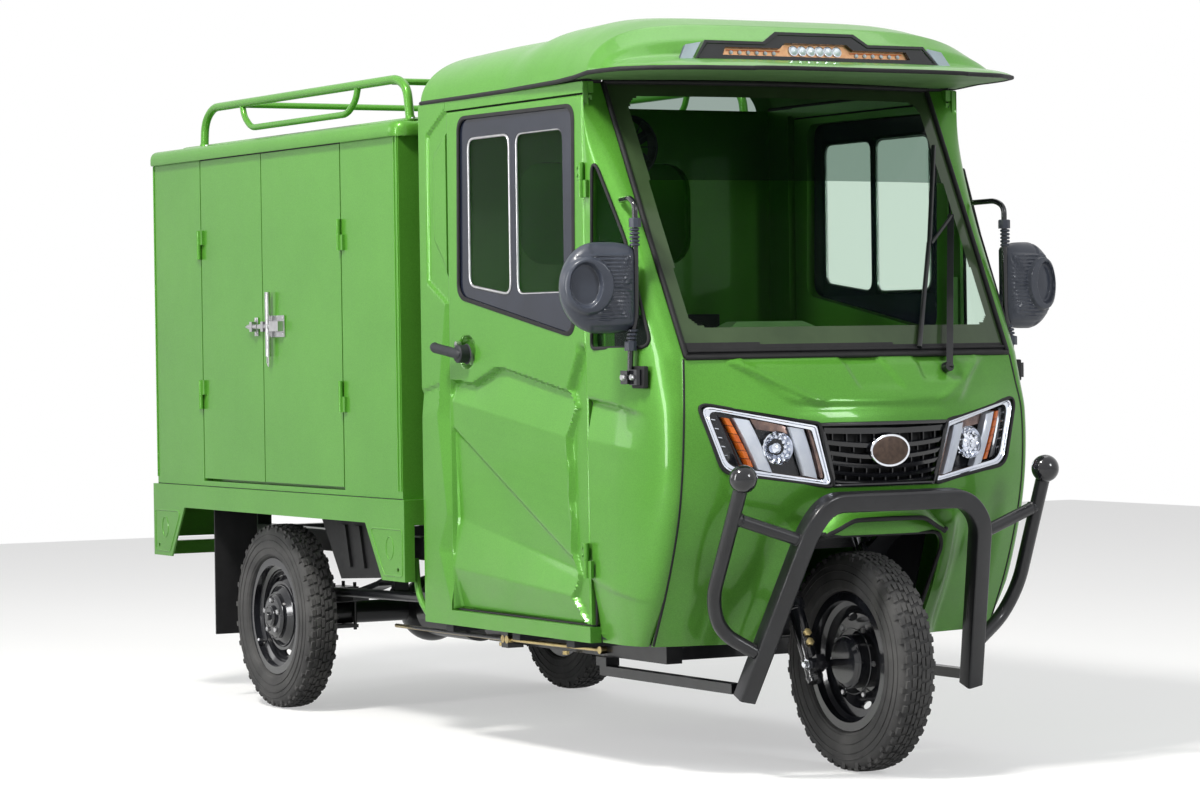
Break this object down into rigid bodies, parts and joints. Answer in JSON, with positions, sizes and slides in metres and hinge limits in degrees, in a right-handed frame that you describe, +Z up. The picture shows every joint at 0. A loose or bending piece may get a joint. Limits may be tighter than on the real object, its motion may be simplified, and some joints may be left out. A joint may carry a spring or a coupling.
{
  "type": "enclosed electric cargo tricycle",
  "caption": "Closed-cab electric tricycle with one steered front wheel, a two-door cab and a van box with side doors, rear doors and a roof rack.",
  "frame": {"origin": "on the floor under the middle of the whole vehicle's bounding box", "axes": "+X forwards, +Y to the vehicle's left, +Z up"},
  "size_m": [3.259, 1.4008, 1.822],
  "materials": {
    "body_paint": "green metallic, glossy",
    "frame_paint": "satin black",
    "rim_paint": "gloss black",
    "tyre": "worn, dusty",
    "trim": "grained",
    "gloss_trim": "gloss black",
    "seal": "matt",
    "window": "clear",
    "lens": "clear",
    "tail_lens": "red",
    "seat_cover": "black imitation leather"
  },
  "bodies": {
    "chassis": {"chassis_frame": "frame_paint", "cab_floor": "trim", "cab_sides": "body_paint", "quarter_panels": "body_paint", "cab_rear_wall": "body_paint", "fixed_windows": "window", "front_fascia": "body_paint", "headlamps": "gloss_trim", "lamp_lenses": "lens", "grille": "trim", "roof": "body_paint", "light_bar": "gloss_trim", "windshield": "window", "windshield_seal": "seal", "mirrors": "trim", "wiper": "trim", "seat": "seat_cover", "dashboard": "trim", "front_guard": "frame_paint", "cab_fan": "trim", "rear_axle": "frame_paint", "leaf_springs": "frame_paint", "rear_mudguards": "trim", "cargo_base": "body_paint", "cargo_walls": "body_paint", "cargo_right_wall": "body_paint", "cargo_lid": "body_paint", "roof_rack": "body_paint", "tail_lamps": "tail_lens"},
    "steering": {"front_fork": "frame_paint", "handlebar": "trim"},
    "front_wheel": {"front_rim": "rim_paint", "front_tyre": "tyre"},
    "rear_wheel_right": {"rear_rim_right": "rim_paint", "rear_tyre_right": "tyre"},
    "rear_wheel_left": {"rear_rim_left": "rim_paint", "rear_tyre_left": "tyre"},
    "cargo_side_door_rear": {"side_door_rear": "body_paint"},
    "cargo_side_door_front": {"side_door_front": "body_paint"},
    "cargo_rear_door_right": {"rear_door_right": "body_paint"},
    "cargo_rear_door_left": {"rear_door_left": "body_paint"},
    "cab_door_right": {"door_panel_right": "body_paint", "door_window_right": "window", "door_handle_right": "trim"},
    "cab_door_left": {"door_panel_left": "body_paint", "door_window_left": "window", "door_handle_left": "trim"}
  },
  "joints": [
    {"name": "steer", "type": "hinge", "parent": "chassis", "child": "steering", "pos_m": [1.33899, 0, 0.24747], "axis": [-0.454, 0, 0.891], "range_deg": [-38, 38]},
    {"name": "front_wheel_spin", "type": "hinge", "parent": "steering", "child": "front_wheel", "pos_m": [1.3675, 0, 0.262], "axis": [0, 1, 0], "continuous": true},
    {"name": "rear_wheel_right_spin", "type": "hinge", "parent": "chassis", "child": "rear_wheel_right", "pos_m": [-0.8925, -0.465, 0.262], "axis": [0, 1, 0], "continuous": true},
    {"name": "rear_wheel_left_spin", "type": "hinge", "parent": "chassis", "child": "rear_wheel_left", "pos_m": [-0.8925, 0.465, 0.262], "axis": [0, 1, 0], "continuous": true},
    {"name": "side_door_rear_hinge", "type": "hinge", "parent": "chassis", "child": "cargo_side_door_rear", "pos_m": [-1.2445, -0.568, 1.11], "axis": [0, 0, -1], "range_deg": [0, 165]},
    {"name": "side_door_front_hinge", "type": "hinge", "parent": "chassis", "child": "cargo_side_door_front", "pos_m": [-0.2925, -0.568, 1.11], "axis": [0, 0, 1], "range_deg": [0, 165]},
    {"name": "rear_door_right_hinge", "type": "hinge", "parent": "chassis", "child": "cargo_rear_door_right", "pos_m": [-1.6055, -0.535, 1.11], "axis": [0, 0, 1], "range_deg": [0, 110]},
    {"name": "rear_door_left_hinge", "type": "hinge", "parent": "chassis", "child": "cargo_rear_door_left", "pos_m": [-1.6055, 0.535, 1.11], "axis": [0, 0, -1], "range_deg": [0, 110]},
    {"name": "cab_door_right_hinge", "type": "hinge", "parent": "chassis", "child": "cab_door_right", "pos_m": [1.0215, -0.548, 0.962], "axis": [0, 0, 1], "range_deg": [0, 70]},
    {"name": "cab_door_left_hinge", "type": "hinge", "parent": "chassis", "child": "cab_door_left", "pos_m": [1.0215, 0.548, 0.962], "axis": [0, 0, -1], "range_deg": [0, 70]}
  ]
}
